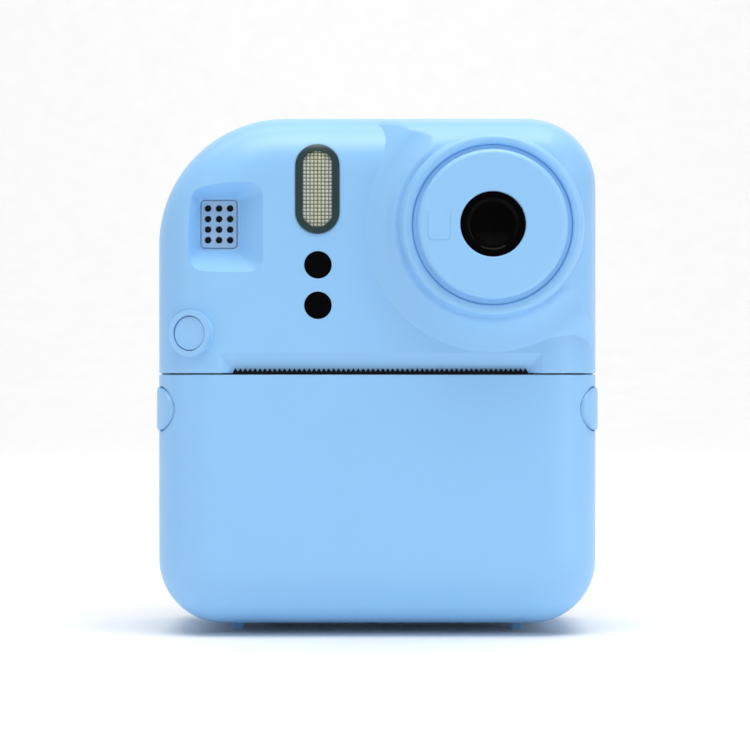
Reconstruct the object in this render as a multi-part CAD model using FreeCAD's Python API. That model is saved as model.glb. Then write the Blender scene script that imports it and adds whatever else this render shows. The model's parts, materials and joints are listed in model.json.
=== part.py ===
import FreeCAD, Part

import math
import os

# Kids instant-print camera. Millimetres, +Z up, the lens looks along -Y, X runs to the right as seen
# from the front. The origin is under the middle of the object, on the plane its feet stand on.

V = FreeCAD.Vector

# ---------------------------------------------------------------- case
half_width = 43.6          # outside of the case, each side of the middle
base_z = 2.0               # underside of the case above the table
top_z = 102.7
front_y = -17.4            # flat front face
back_y = 26.4              # flat back face
wall = 2.0
far = 60.0                 # well outside the case, for cutting shapes
corner_radii = (25.3, 13.7, 12.9, 12.9)   # top left, top right, bottom right, bottom left
front_round = 11.5         # rounding of the front edge
back_round = 5.0           # rounding of the back edge
seam_y = -1.0              # where the rear shell starts
seam_gap = 0.3
seam_z = 51.7              # line between the upper shell and the paper door
lip_depth = 1.2
foot_x = 28.3
foot_half = 1.6
foot_y_places = (1.2, 19.0)

# ---------------------------------------------------------------- paper door and hinge
hinge_y = -6.5
hinge_z = 6.6
hinge_x = 34.0
door_heel = 5.2            # radius of the door's lower rear edge about the hinge
pin_r = 1.0
knuckle_r = 2.2
knuckle_width = 2.4
running_gap = 0.06

# ---------------------------------------------------------------- door release buttons
release_y = -9.9
release_z = 44.8
release_r = 4.2
release_proud = 0.45
release_gap = 0.25
release_inner_x = 39.5
release_seat_x = 35.5
release_seat_thick = 0.8
latch_arm_y = 2.6          # rear end of the latch arm, behind its keeper
latch_half_height = 2.0
spring_r = 2.2
spring_wire_r = 0.22
spring_turns = 3
spring_steps = 16          # straight stretches in a turn of the coil
spring_sides = 8           # flats on the spring's wire

# ---------------------------------------------------------------- tear blade
blade_x = 0.6
blade_width = 57.6
blade_teeth = 60
blade_tooth = 0.75
blade_band = 0.4
blade_foot = 1.6
blade_y = -17.1
blade_thick = 0.35
exit_depth = 1.05          # recess of the upper shell behind the blade
exit_side = 0.5            # room beside and above the blade
exit_slope = 2.4           # width of the sloping sides of that recess

# ---------------------------------------------------------------- lens
lens_x = 22.13
lens_z = 80.41
lens_front_y = -27.0
lens_hole_r = 6.3
disc_r = 14.4
rim_r = 15.4
barrel_r = 17.4
shoulder_r = 18.9
flare_r = 24.8             # foot of the flare on the front face
flare_h = 3.2              # height of the flare's shoulder above the front face
flare_bend_r = 21.4        # where the flare's steep slope turns into its flat foot
flare_bend_h = 0.95        # height of that bend above the front face
bend_round = 8.0           # rounding of the bend
foot_round = 5.0           # rounding where the foot turns down behind the front face
barrel_h = 7.3
seat_h = 3.6               # floor of the barrel's recess, where the disc sits
tile_x = (9.7, 13.9)       # shallow raised tile beside the lens opening
tile_z = (77.4, 83.1)
holder_bore_r = 4.9
holder_flange_r = 12.9
module_y = -14.0           # front face of the camera block
module_half = 4.5
module_barrel_r = 3.8
groove_depth = 0.55        # ring groove round the disc, below the barrel's rim
disc_round = 1.1           # rounding of the disc's front edge
rim_round = 0.45           # rounding of the barrel's inner edge
barrel_round = 1.2         # rounding of the barrel's outer edge
shoulder_round = 1.4       # rounding of the flare's shoulder
flare_skirt = 7.4          # how far the flare's slope runs on behind the front face
flare_inset = 0.9          # the flare stays this far inside the case outline
flare_trim_round = 9.5     # rounding of the flare's front edge where the outline trims it
ridge_round = 2.0          # rounding between the slope and the trimmed sides

# ---------------------------------------------------------------- finder recess and speaker
recess_x = (-37.6, -21.8)
recess_z = (71.2, 89.4)
recess_corner = 3.0
recess_floor_x = (-35.3, -27.1)
recess_floor_z = (75.9, 86.6)
recess_depth = 4.6
grille_x = -31.2
grille_z = 81.2
grille_size = (7.2, 9.5)
grille_hole_r = 0.665
grille_pitch = (2.18, 2.08)
speaker_r = 7.0
speaker_y = (-11.0, -8.6, -6.6)   # front, back of its basket, back of its magnet
magnet_r = 4.5

# ---------------------------------------------------------------- flash and sensor windows
flash_x = -11.7
flash_z = 87.85
flash_half_width = 4.3
flash_half_height = 8.8
flash_rim = 1.35
flash_proud = 0.25
sensor_x = -11.6
sensor_z_places = (73.0, 65.1)
sensor_r = 2.7
flash_led_pitch = 4.2
flash_led_half = 1.4
flash_board_y = -13.2
sensor_board_y = -13.6

# ---------------------------------------------------------------- shutter button
shutter_z = 59.65
shutter_tilt = 23.0        # degrees from the front direction towards -X
shutter_ring_r = 4.65
shutter_r = 3.3
shutter_gap = 0.15
shutter_proud = 0.6
shutter_travel = 0.8
shutter_stem = 5.0         # end of its stem, below the case surface

# ---------------------------------------------------------------- printer
roll_y = 3.0
roll_z = 23.0
roll_r = 15.0
roll_half = 28.6
core_r = 6.1
core_bore_r = 4.6
platen_y = -8.5
platen_z = 46.0
platen_r = 4.8
platen_half = 28.6
shaft_r = 1.5
bush_r = 2.5
cheek_in = 30.0
cheek_out = 31.5
head_y = -3.35             # face of the print head, behind the platen
frame_top_z = 52.4
head_half = 28.5
head_z = (39.5, 51.0)
bracket_half = 29.4
bracket_z = (38.0, 51.6)
leaf_x = 16.0
leaf_half = 2.0
trough_gap = 0.9           # room round the paper roll
trough_wall = 1.5

# ---------------------------------------------------------------- gear train
module = 0.5
pressure = math.radians(25.0)
backlash = 0.16
centre_slack = 0.06
platen_teeth = 22
idler_teeth = 28
small_teeth = 14
big_teeth = 40
pinion_teeth = 12
idler_angle = -20.0        # direction of each next gear, degrees from +Y towards +Z
reduction_angle = 50.0
pinion_angle = 120.0
inner_layer = (32.0, 35.0)
outer_layer = (35.4, 38.0)
gear_pin_r = 1.0
motor_shaft_r = 0.75
motor_r = 7.0
motor_x = (17.0, 30.0)

# ---------------------------------------------------------------- back
screen_half_width = 29.0
screen_z = (50.0, 90.0)
screen_step = 1.2
lcd_half_width = 26.0
lcd_z = (51.5, 88.5)
rear_lens_z = 94.2
rear_lens_r = 2.9
key_proud_y = 27.0
key_gap = 0.2
key_travel = 0.5
nib_y = 23.1               # tip of each key's nib
nib_r = 1.0
key_back_y = 23.6          # back of the key caps
key_flange_y = (23.5, 24.2)
pad_z = 30.0
ok_r = 4.6
arc_key_in = 6.2
arc_key_out = 12.4
arc_key_half_angle = 36.0
side_key_x = 27.0
side_key_r = 3.6
keypad_y = (20.8, 21.8)
keypad_half = 34.0
keypad_z = (13.0, 46.0)
switch_half = 1.9
switch_base = 0.5
dome_r = 1.1
switch_top_y = nib_y - key_travel - 0.05

# ---------------------------------------------------------------- electronics
board_y = (17.5, 18.7)
board_x = (-33.5, 33.0)
board_z = (55.0, 98.0)
board_tab_x = 40.8
board_tab_z = (72.0, 91.0)
usb_y = 15.8
usb_z = 88.0
usb_x = (36.2, 43.3)
card_x = (28.5, 41.2)
card_z = (74.8, 79.8)
battery_x = (-31.0, 4.0)
battery_y = (6.0, 13.0)
battery_z = (56.0, 92.0)
screw_r = 1.0
boss_r = 3.0
screw_seat_y = 4.0         # shoulder under each screw's head
screw_head_r = 1.9
screw_head = 1.3
screw_well_r = 2.0
case_screw_places = ((-25.0, 95.3), (35.2, 94.3), (-37.8, 66.9), (37.8, 68.2))


# ================================================================ helpers
def box(x0, x1, y0, y1, z0, z1):
    """Block between two opposite corners."""
    return Part.makeBox(x1 - x0, y1 - y0, z1 - z0, V(x0, y0, z0))


def rod(radius, start, end):
    """Solid cylinder from one point to another."""
    start = V(*start)
    along = V(*end) - start
    return Part.makeCylinder(radius, along.Length, start, along)


def tube(outer, inner, start, end):
    """Hollow cylinder from one point to another."""
    return rod(outer, start, end).cut(rod(inner, start, end))


def mirrored(shape):
    """The same shape on the other side of the middle plane."""
    return shape.mirror(V(0, 0, 0), V(1, 0, 0))


def joined(shapes):
    """One solid from shapes that touch or overlap."""
    first = shapes[0]
    return first.fuse(shapes[1:]).removeSplitter()


def rounded_wire(x0, x1, z0, z1, radii, y):
    """Rounded rectangle in a plane facing Y; radii from top left, clockwise seen from the front."""
    corners = (
        (x0 + radii[0], z1 - radii[0], radii[0], 180),
        (x1 - radii[1], z1 - radii[1], radii[1], 90),
        (x1 - radii[2], z0 + radii[2], radii[2], 0),
        (x0 + radii[3], z0 + radii[3], radii[3], -90),
    )
    arcs = []
    for cx, cz, radius, first_angle in corners:
        points = []
        for turn in (0, 45, 90):
            angle = math.radians(first_angle - turn)
            points.append(V(cx + radius * math.cos(angle), y, cz + radius * math.sin(angle)))
        arcs.append(points)
    edges = []
    for index, points in enumerate(arcs):
        edges.append(Part.Arc(*points).toShape())
        following = arcs[(index + 1) % len(arcs)][0]
        if (following - points[2]).Length > 1e-6:
            edges.append(Part.LineSegment(points[2], following).toShape())
    return Part.Wire(Part.__sortEdges__(edges))


def rounded_slab(x0, x1, z0, z1, radius, y0, y1):
    """Rounded rectangle as a slab between two depths."""
    face = Part.Face(rounded_wire(x0, x1, z0, z1, (radius,) * 4, y0))
    return face.extrude(V(0, y1 - y0, 0))


def edges_at_y(shape, y):
    """Edges that lie in the plane at this depth."""
    found = []
    for edge in shape.Edges:
        bounds = edge.BoundBox
        if abs(bounds.YMin - y) < 1e-4 and abs(bounds.YMax - y) < 1e-4:
            found.append(edge)
    return found


def ring_edges(shape, y, radius):
    """Circular edges of this radius in the plane at this depth."""
    return [edge for edge in edges_at_y(shape, y) if abs(edge.Curve.Radius - radius) < 1e-4]


def on_lens_axis(surface):
    """True for a cone or ring surface turned about the lens axis."""
    if not isinstance(surface, (Part.Cone, Part.Toroid)):
        return False
    return abs(surface.Center.x - lens_x) < 1e-4 and abs(surface.Center.z - lens_z) < 1e-4


def flank_ridges(shape):
    """Edges of the flare's turned faces that run backwards, where the outline trims them."""
    found = []
    for face in shape.Faces:
        if on_lens_axis(face.Surface):
            found.extend(edge for edge in face.Edges if edge.BoundBox.YLength > 0.01)
    return found


def outline_block(inset, y0, y1, round_front, round_back):
    """The case outline as a block with its front and back edges rounded."""
    radii = tuple(radius - inset for radius in corner_radii)
    wire = rounded_wire(-half_width + inset, half_width - inset, base_z + inset, top_z - inset, radii, y0)
    block = Part.Face(wire).extrude(V(0, y1 - y0, 0))
    block = block.makeFillet(round_front, edges_at_y(block, y0))
    return block.makeFillet(round_back, edges_at_y(block, y1))


def case_block(inset):
    """The whole case as a solid, its faces moved inwards by the inset."""
    return outline_block(inset, front_y + inset, back_y - inset, front_round - inset, back_round - inset)


def turned_solid(points, centre_x, centre_z):
    """Solid of revolution about the Y direction; points are radius and depth pairs."""
    corners = [V(centre_x + radius, y, centre_z) for radius, y in points]
    face = Part.Face(Part.makePolygon(corners + [corners[0]]))
    return face.revolve(V(centre_x, 0, centre_z), V(0, 1, 0), 360)


def side_plate(points, x0, x1):
    """Plate square to X; points are depth and height pairs."""
    corners = [V(x0, y, z) for y, z in points]
    face = Part.Face(Part.makePolygon(corners + [corners[0]]))
    return face.extrude(V(x1 - x0, 0, 0))


def save(name, shape):
    """Write one node."""
    shape.exportStep(os.path.join("parts", name + ".step"))


# ================================================================ case shells
def door_zone(gap):
    """Space taken by the paper door and its edges, grown by a gap all round."""
    low_z = -5.0
    edge_y = seam_y - seam_gap + gap
    heel = door_heel + gap
    top = seam_z - seam_gap / 2 + gap
    far_y = front_y - 5.0
    reach = top - hinge_z
    corner_angle = math.acos((edge_y - hinge_y) / reach)
    middle_angle = (corner_angle + math.pi / 2) / 2
    corner = V(0, edge_y, hinge_z + reach * math.sin(corner_angle))
    middle = V(0, hinge_y + reach * math.cos(middle_angle), hinge_z + reach * math.sin(middle_angle))
    crest = V(0, hinge_y, top)
    heel_rear = V(0, hinge_y + heel, hinge_z)
    heel_middle = V(0, hinge_y + heel * math.sqrt(0.5), hinge_z - heel * math.sqrt(0.5))
    heel_low = V(0, hinge_y, hinge_z - heel)
    edges = [
        Part.LineSegment(V(0, far_y, low_z), V(0, far_y, top)),
        Part.LineSegment(V(0, far_y, top), crest),
        Part.Arc(crest, middle, corner),
        Part.LineSegment(corner, heel_rear),
        Part.Arc(heel_rear, heel_middle, heel_low),
        Part.LineSegment(heel_low, V(0, hinge_y, low_z)),
        Part.LineSegment(V(0, hinge_y, low_z), V(0, far_y, low_z)),
    ]
    wire = Part.Wire([edge.toShape() for edge in edges])
    half = half_width + 5.0
    zone = Part.Face(wire).extrude(V(2 * half, 0, 0))
    zone.translate(V(-half, 0, 0))
    return zone


def shutter_frame():
    """Point on the ring's axis at the case surface, and the outward direction."""
    tilt = math.radians(shutter_tilt)
    outward = V(-math.sin(tilt), -math.cos(tilt), 0)
    round_x = -half_width + front_round
    round_y = front_y + front_round
    point = V(round_x, round_y, shutter_z) + outward * front_round
    return point, outward


def along_shutter(radius, start, end):
    """Cylinder on the shutter axis between two heights over the case surface."""
    point, outward = shutter_frame()
    return Part.makeCylinder(radius, end - start, point + outward * start, outward)


def flare():
    """Cone and barrel that carry the lens out of the front face."""
    shoulder_y = front_y - flare_h
    bend_y = front_y - flare_bend_h
    rim_y = front_y - barrel_h
    cone = turned_solid(
        (
            (0, shoulder_y),
            (shoulder_r, shoulder_y),
            (flare_bend_r, bend_y),
            (flare_r, front_y),
            (flare_r + flare_skirt, front_y + flare_skirt),
            (0, front_y + flare_skirt),
        ),
        lens_x,
        lens_z,
    )
    cone = cone.makeFillet(shoulder_round, ring_edges(cone, shoulder_y, shoulder_r))
    cone = cone.makeFillet(bend_round, ring_edges(cone, bend_y, flare_bend_r))
    cone = cone.makeFillet(foot_round, ring_edges(cone, front_y, flare_r))
    mound = cone.common(outline_block(flare_inset, shoulder_y - 0.2, back_y, flare_trim_round, 1.0))
    mound = mound.makeFillet(ridge_round, flank_ridges(mound))
    barrel = turned_solid(
        (
            (0, front_y - seat_h),
            (rim_r, front_y - seat_h),
            (rim_r, rim_y),
            (barrel_r, rim_y),
            (barrel_r + 0.6, shoulder_y),
            (barrel_r + 0.6, front_y + 1.0),
            (0, front_y + 1.0),
        ),
        lens_x,
        lens_z,
    )
    barrel = barrel.makeFillet(rim_round, ring_edges(barrel, rim_y, rim_r))
    barrel = barrel.makeFillet(barrel_round, ring_edges(barrel, rim_y, barrel_r))
    return mound, barrel


def exit_recess():
    """Shallow hollow with sloping sides, behind the tear blade."""
    wires = []
    for y, spread in ((front_y - 0.01, exit_slope), (front_y + exit_depth, 0.0)):
        half = blade_width / 2 + exit_side + spread
        top = seam_z + blade_band + blade_tooth + exit_side + spread
        corners = (
            V(blade_x - half, y, seam_z - 2.0),
            V(blade_x - half, y, top),
            V(blade_x + half, y, top),
            V(blade_x + half, y, seam_z - 2.0),
        )
        wires.append(Part.makePolygon([*corners, corners[0]]))
    return Part.makeLoft(wires, True, True)


def recess_loft(grow):
    """Sloping-sided space in front of the speaker grille."""
    front = front_y - 0.5
    radius = recess_corner + grow
    mouth = rounded_wire(
        recess_x[0] - grow, recess_x[1] + grow, recess_z[0] - grow, recess_z[1] + grow, (radius,) * 4, front
    )
    floor_y = front_y + recess_depth + grow
    floor_radius = 1.0 + grow
    floor = rounded_wire(
        recess_floor_x[0] - grow,
        recess_floor_x[1] + grow,
        recess_floor_z[0] - grow,
        recess_floor_z[1] + grow,
        (floor_radius,) * 4,
        floor_y,
    )
    return Part.makeLoft([mouth, floor], True, True)


def flash_slab(inset, y0, y1):
    """Upright oval of the flash."""
    width = flash_half_width - inset
    height = flash_half_height - inset
    return rounded_slab(
        flash_x - width, flash_x + width, flash_z - height, flash_z + height, width - 0.001, y0, y1
    )


def front_shell(outer, cavity):
    """Upper front moulding with the lens flare, the recess and the front holes."""
    mound, barrel = flare()
    behind_y = front_y + 3.4
    zone = box(-far, far, -far, seam_y - 0.2, seam_z + seam_gap / 2, 2 * far)
    pocket = recess_loft(1.6).common(outer)
    ring = along_shutter(shutter_ring_r, -3.5, shutter_proud)
    body = outer.fuse([mound]).cut(cavity)
    body = body.fuse([pocket, ring.cut(case_block(wall + 1.2))])
    hollow_r = shoulder_r - 3.0
    shoulder_back = front_y - flare_h + 1.6
    inner_cone = rod(hollow_r, (lens_x, front_y + wall, lens_z), (lens_x, shoulder_back, lens_z))
    body = body.cut(inner_cone)
    lens_bore = rod(rim_r - 2.2, (lens_x, front_y + wall, lens_z), (lens_x, -far, lens_z))
    body = body.fuse(barrel.cut(lens_bore))
    cuts = [
        lens_bore,
        recess_loft(0.0),
        rounded_slab(
            grille_x - grille_size[0] / 2,
            grille_x + grille_size[0] / 2,
            grille_z - grille_size[1] / 2,
            grille_z + grille_size[1] / 2,
            0.8,
            front_y + 1.4,
            speaker_y[1],
        ),
        flash_slab(0.0, -far, behind_y),
        along_shutter(shutter_r + shutter_gap, -6.0, 5.0),
        exit_recess(),
        case_block(wall / 2 - 0.05).common(box(-far, far, seam_y - lip_depth - 0.3, 0, 0, 2 * far)),
    ]
    for z in sensor_z_places:
        cuts.append(rod(sensor_r, (sensor_x, -far, z), (sensor_x, behind_y, z)))
    for cut_shape in cuts:
        body = body.cut(cut_shape)
    bosses = []
    for x, z in case_screw_places:
        post = rod(boss_r, (x, front_y + 0.5, z), (x, seam_y - 0.2, z)).common(outer)
        bosses.append(post.cut(recess_loft(0.0)).cut(lens_bore))
    body = body.common(zone).fuse(bosses)
    for x, z in case_screw_places:
        body = body.cut(rod(screw_r, (x, seam_y - 7.0, z), (x, 5.0, z)))
    return body.removeSplitter()


def rear_shell(outer, cavity):
    """Back moulding with the feet, hinge knuckles, screw tubes and key holes."""
    inside_y = back_y - 6.4
    zone = box(-far, far, hinge_y, far, -far, 2 * far).cut(door_zone(seam_gap))
    zone = zone.cut(box(-far, far, -far, seam_y, seam_z - 5.0, 2 * far))
    body = outer.cut(cavity).common(zone)
    lip = case_block(wall / 2).cut(cavity)
    lip = lip.common(box(-far, far, seam_y - lip_depth, seam_y + 0.5, seam_z + 2.0, 2 * far))
    pieces = [lip]
    for side in (-1, 1):
        for y in foot_y_places:
            foot = Part.makeLoft(
                [
                    rounded_wire_flat(side * foot_x, y, foot_half, base_z + 0.4),
                    rounded_wire_flat(side * foot_x, y, foot_half - 0.5, 0.0),
                ],
                True,
                True,
            )
            pieces.append(foot)
        x0 = side * hinge_x - knuckle_width / 2
        x1 = side * hinge_x + knuckle_width / 2
        knuckle = rod(knuckle_r, (x0, hinge_y, hinge_z), (x1, hinge_y, hinge_z))
        arm = box(x0, x1, hinge_y, 1.5, hinge_z - 1.6, hinge_z + 1.6)
        heel = box(x0, x1, -0.6, 1.5, base_z + 1.0, hinge_z)
        pieces.extend([knuckle, arm, heel])
        inner_side = half_width - wall
        keeper = box(inner_side - 0.35, inner_side + 0.2, 0.0, 1.1, release_z - 3.0, release_z + 3.0)
        pieces.append(keeper if side > 0 else mirrored(keeper))
    for x, z in case_screw_places:
        pieces.append(rod(boss_r, (x, seam_y, z), (x, back_y - 0.5, z)).common(outer))
    body = body.fuse(pieces)
    cuts = [
        rounded_slab(-screen_half_width, screen_half_width, *screen_z, 3.0, back_y - screen_step, far),
        rounded_slab(-lcd_half_width, lcd_half_width, *lcd_z, 1.0, inside_y, far),
        rod(rear_lens_r, (0, inside_y, rear_lens_z), (0, far, rear_lens_z)),
        usb_block(0.2, usb_x[0] - 0.2, far),
        box(half_width - wall - 1.0, far, 15.9, 17.6, card_z[0] - 3.0, card_z[1] + 3.0),
        rod(ok_r + key_gap, (0, inside_y, pad_z), (0, far, pad_z)),
    ]
    for turn in (0, 90, 180, 270):
        cuts.append(arc_block(turn, key_gap, inside_y, far))
    for x, z in side_key_places():
        cuts.append(rod(side_key_r + key_gap, (x, inside_y, z), (x, far, z)))
    for x, z in case_screw_places:
        cuts.append(rod(screw_r + 0.2, (x, seam_y - 4.0, z), (x, screw_seat_y + 1.0, z)))
        cuts.append(rod(screw_well_r, (x, screw_seat_y, z), (x, far, z)))
    for side in (-1, 1):
        x = side * hinge_x
        cuts.append(rod(pin_r, (x - 5, hinge_y, hinge_z), (x + 5, hinge_y, hinge_z)))
    for cut_shape in cuts:
        body = body.cut(cut_shape)
    return body.removeSplitter()


def rounded_wire_flat(x, y, half, z):
    """Small rounded square in a level plane, for the feet."""
    wire = rounded_wire(-half, half, -half, half, (half * 0.45,) * 4, 0.0)
    wire.rotate(V(0, 0, 0), V(1, 0, 0), -90)
    wire.translate(V(x, y, z))
    return wire


def release_hole(side):
    """Round hole of a release button through the door's side."""
    x0 = side * (release_inner_x - 3.0)
    return rod(release_r + release_gap, (x0, release_y, release_z), (side * far, release_y, release_z))


def paper_door(outer, cavity):
    """Lower front door with platen lugs, hinge knuckles and spring seats."""
    zone = door_zone(0.0)
    body = outer.cut(cavity).common(zone)
    pieces = []
    for side in (-1, 1):
        lug = side_plate(
            (
                (front_y + 1.0, 38.5),
                (front_y + 1.0, 50.6),
                (platen_y + 3.0, 50.6),
                (platen_y + 4.2, platen_z + 2.0),
                (platen_y + 4.2, platen_z - 3.4),
                (platen_y - 1.0, 38.5),
            ),
            cheek_in - 0.2,
            cheek_out + 0.1,
        )
        seat = side_plate(
            (
                (front_y + 1.0, release_z - 5.0),
                (front_y + 1.0, release_z + 5.0),
                (release_y + 4.0, release_z + 5.0),
                (release_y + 4.0, release_z - 5.0),
            ),
            release_seat_x,
            release_seat_x + release_seat_thick,
        )
        pieces.append(lug if side > 0 else mirrored(lug))
        pieces.append(seat if side > 0 else mirrored(seat))
        for shift in (-1, 1):
            middle = side * hinge_x + shift * (knuckle_width + 0.4)
            x0 = middle - knuckle_width / 2
            x1 = middle + knuckle_width / 2
            pieces.append(rod(knuckle_r, (x0, hinge_y, hinge_z), (x1, hinge_y, hinge_z)))
            pieces.append(box(x0, x1, hinge_y - knuckle_r, hinge_y + knuckle_r, base_z + 1.0, hinge_z))
    added = joined(pieces).common(outer)
    body = body.fuse(added)
    cuts = [
        box(
            blade_x - blade_width / 2 - 0.1,
            blade_x + blade_width / 2 + 0.1,
            blade_y,
            blade_y + blade_thick,
            seam_z - seam_gap / 2 - blade_foot,
            seam_z + 3.0,
        )
    ]
    for side in (-1, 1):
        cuts.append(release_hole(side))
        notch = knuckle_width / 2 + 0.4
        x = side * hinge_x
        cuts.append(box(x - notch, x + notch, hinge_y - 1.1, 5.0, 0.0, hinge_z + 4.0))
        cuts.append(rod(knuckle_r + 0.35, (x - notch, hinge_y, hinge_z), (x + notch, hinge_y, hinge_z)))
        bore = pin_r + running_gap
        cuts.append(rod(bore, (x - 5, hinge_y, hinge_z), (x + 5, hinge_y, hinge_z)))
        cuts.append(rod(bush_r, (side * 28.0, platen_y, platen_z), (side * 34.0, platen_y, platen_z)))
    for cut_shape in cuts:
        body = body.cut(cut_shape)
    return body.removeSplitter()


def hinge_pins():
    """Two short steel pins that the door turns on."""
    reach = knuckle_width * 1.5 + 0.3
    pins = []
    for side in (-1, 1):
        x = side * hinge_x
        pins.append(rod(pin_r, (x - reach, hinge_y, hinge_z), (x + reach, hinge_y, hinge_z)))
    return Part.makeCompound(pins)


def release_button():
    """Right-hand release button with its latch arm."""
    cap = rod(release_r, (release_inner_x, release_y, release_z), (far, release_y, release_z))
    cap = cap.common(case_block(-release_proud))
    low = release_z - latch_half_height
    high = release_z + latch_half_height
    arm = box(release_inner_x, release_inner_x + 0.8, release_y, latch_arm_y, low, high)
    hook = box(release_inner_x + 0.7, release_inner_x + 1.5, latch_arm_y - 1.1, latch_arm_y, low, high)
    return joined([cap, arm, hook])


def release_spring():
    """Right-hand coil spring between the door's seat and the release button."""
    first_x = release_seat_x + release_seat_thick + spring_wire_r + 0.02
    last_x = release_inner_x - spring_wire_r - 0.02
    stretches = spring_turns * spring_steps
    rise = (last_x - first_x) / (spring_turns * 2 * math.pi)
    rings = []
    for step in range(stretches + 1):
        turn = 2 * math.pi * step / spring_steps
        radial = V(0, math.cos(turn), math.sin(turn))
        along = V(rise, -spring_r * math.sin(turn), spring_r * math.cos(turn)).normalize()
        across = along.cross(radial)
        centre = V(first_x + rise * turn, release_y, release_z) + radial * spring_r
        points = []
        for side in range(spring_sides):
            angle = 2 * math.pi * side / spring_sides
            points.append(centre + (radial * math.cos(angle) + across * math.sin(angle)) * spring_wire_r)
        rings.append(Part.makePolygon([*points, points[0]]))
    return Part.makeLoft(rings, True, True)


def tear_blade():
    """Serrated strip set in the door's top edge."""
    left = blade_x - blade_width / 2
    band_top = seam_z - seam_gap / 2 + blade_band + 0.15
    low = seam_z - seam_gap / 2 - blade_foot
    pitch = blade_width / blade_teeth
    points = [V(left, blade_y, low), V(left, blade_y, band_top)]
    for tooth in range(blade_teeth):
        x = left + tooth * pitch
        points.append(V(x + pitch / 2, blade_y, band_top + blade_tooth))
        points.append(V(x + pitch, blade_y, band_top))
    points.append(V(left + blade_width, blade_y, low))
    points.append(points[0])
    return Part.Face(Part.makePolygon(points)).extrude(V(0, blade_thick, 0))


# ================================================================ lens, flash, windows
def lens_face_disc():
    """Blue disc around the lens window, with its round edge and shallow raised tile."""
    face_y = lens_front_y + 0.1
    back = front_y - seat_h
    groove_y = front_y - barrel_h + groove_depth
    disc = turned_solid(
        (
            (lens_hole_r, back),
            (rim_r - 0.05, back),
            (rim_r - 0.05, groove_y),
            (disc_r, groove_y),
            (disc_r, face_y),
            (lens_hole_r, face_y),
        ),
        lens_x,
        lens_z,
    )
    disc = disc.makeFillet(disc_round, ring_edges(disc, face_y, disc_r))
    disc = disc.makeFillet(0.3, ring_edges(disc, face_y, lens_hole_r))
    tile = rounded_slab(*tile_x, *tile_z, 0.8, lens_front_y, lens_front_y + 0.6)
    return joined([disc, tile])


def lens_window():
    """Black glazed disc in the lens opening."""
    y = lens_front_y + 1.1
    return rod(lens_hole_r - 0.03, (lens_x, y, lens_z), (lens_x, y + 1.0, lens_z))


def lens_holder():
    """Black tube that carries the camera module behind the window."""
    start = lens_front_y + 2.1
    seat = front_y - seat_h
    barrel = tube(lens_hole_r - 0.03, holder_bore_r, (lens_x, start, lens_z), (lens_x, module_y, lens_z))
    flange = tube(holder_flange_r, holder_bore_r, (lens_x, seat, lens_z), (lens_x, seat + 1.2, lens_z))
    return joined([barrel, flange])


def front_camera_module():
    """Sensor block with its small lens barrel."""
    left = lens_x - module_half
    low = lens_z - module_half
    block = box(left, left + 2 * module_half, module_y, module_y + 4.5, low, low + 2 * module_half)
    barrel = rod(module_barrel_r, (lens_x, module_y, lens_z), (lens_x, module_y - 6.5, lens_z))
    hood = tube(module_barrel_r, 2.2, (lens_x, module_y - 7.2, lens_z), (lens_x, module_y - 6.5, lens_z))
    return joined([block, barrel, hood])


def flash_bezel():
    """Dark oval frame around the flash lens."""
    ring = flash_slab(0.02, front_y - 1.0, front_y + 2.8).cut(flash_slab(flash_rim, -far, far))
    return ring.common(case_block(-flash_proud))


def flash_lens():
    """Clear window of the flash."""
    slab = flash_slab(flash_rim + 0.02, front_y - 1.0, front_y + 2.6)
    return slab.common(case_block(0.0))


def flash_board():
    """Small circuit board behind the flash."""
    middle = flash_z - flash_led_half
    y0 = flash_board_y
    return rounded_slab(flash_x - 3.6, flash_x + 3.6, middle - 6.8, middle + 6.8, 0.5, y0, y0 + 1.0)


def flash_leds():
    """Three flash LEDs in a column."""
    chips = []
    size = flash_led_half
    y0 = flash_board_y - 1.0
    for place in (-1, 0, 1):
        z = flash_z - flash_led_half + place * flash_led_pitch
        chips.append(box(flash_x - size, flash_x + size, y0, flash_board_y, z - size, z + size))
    return Part.makeCompound(chips)


def sensor_window(z):
    """Round black window."""
    return rod(sensor_r - 0.02, (sensor_x, front_y + 0.15, z), (sensor_x, front_y + 1.8, z))


def sensor_board():
    """Board with a status lamp and a light sensor behind the round windows."""
    low = sensor_z_places[1] - 3.6
    high = sensor_z_places[0] + 3.5
    parts = [box(sensor_x - 3.5, sensor_x + 3.5, sensor_board_y, sensor_board_y + 1.0, low, high)]
    for z in sensor_z_places:
        x = sensor_x
        parts.append(box(x - 1.2, x + 1.2, sensor_board_y - 1.4, sensor_board_y, z - 1.2, z + 1.2))
    return joined(parts)


def speaker_grille():
    """Perforated plate over the speaker."""
    plate = rounded_slab(
        grille_x - grille_size[0] / 2 + 0.08,
        grille_x + grille_size[0] / 2 - 0.08,
        grille_z - grille_size[1] / 2 + 0.08,
        grille_z + grille_size[1] / 2 - 0.08,
        0.7,
        front_y + recess_depth - 0.15,
        front_y + recess_depth + 1.2,
    )
    for column in (-1, 0, 1):
        for row in (-1.5, -0.5, 0.5, 1.5):
            x = grille_x + column * grille_pitch[0]
            z = grille_z + row * grille_pitch[1]
            plate = plate.cut(rod(grille_hole_r, (x, -far, z), (x, far, z)))
    return plate


def speaker():
    """Round loudspeaker with its magnet."""
    front, middle, back = speaker_y
    basket = rod(speaker_r, (grille_x, front, grille_z), (grille_x, middle, grille_z))
    magnet = rod(magnet_r, (grille_x, middle, grille_z), (grille_x, back, grille_z))
    return joined([basket, magnet])


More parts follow.
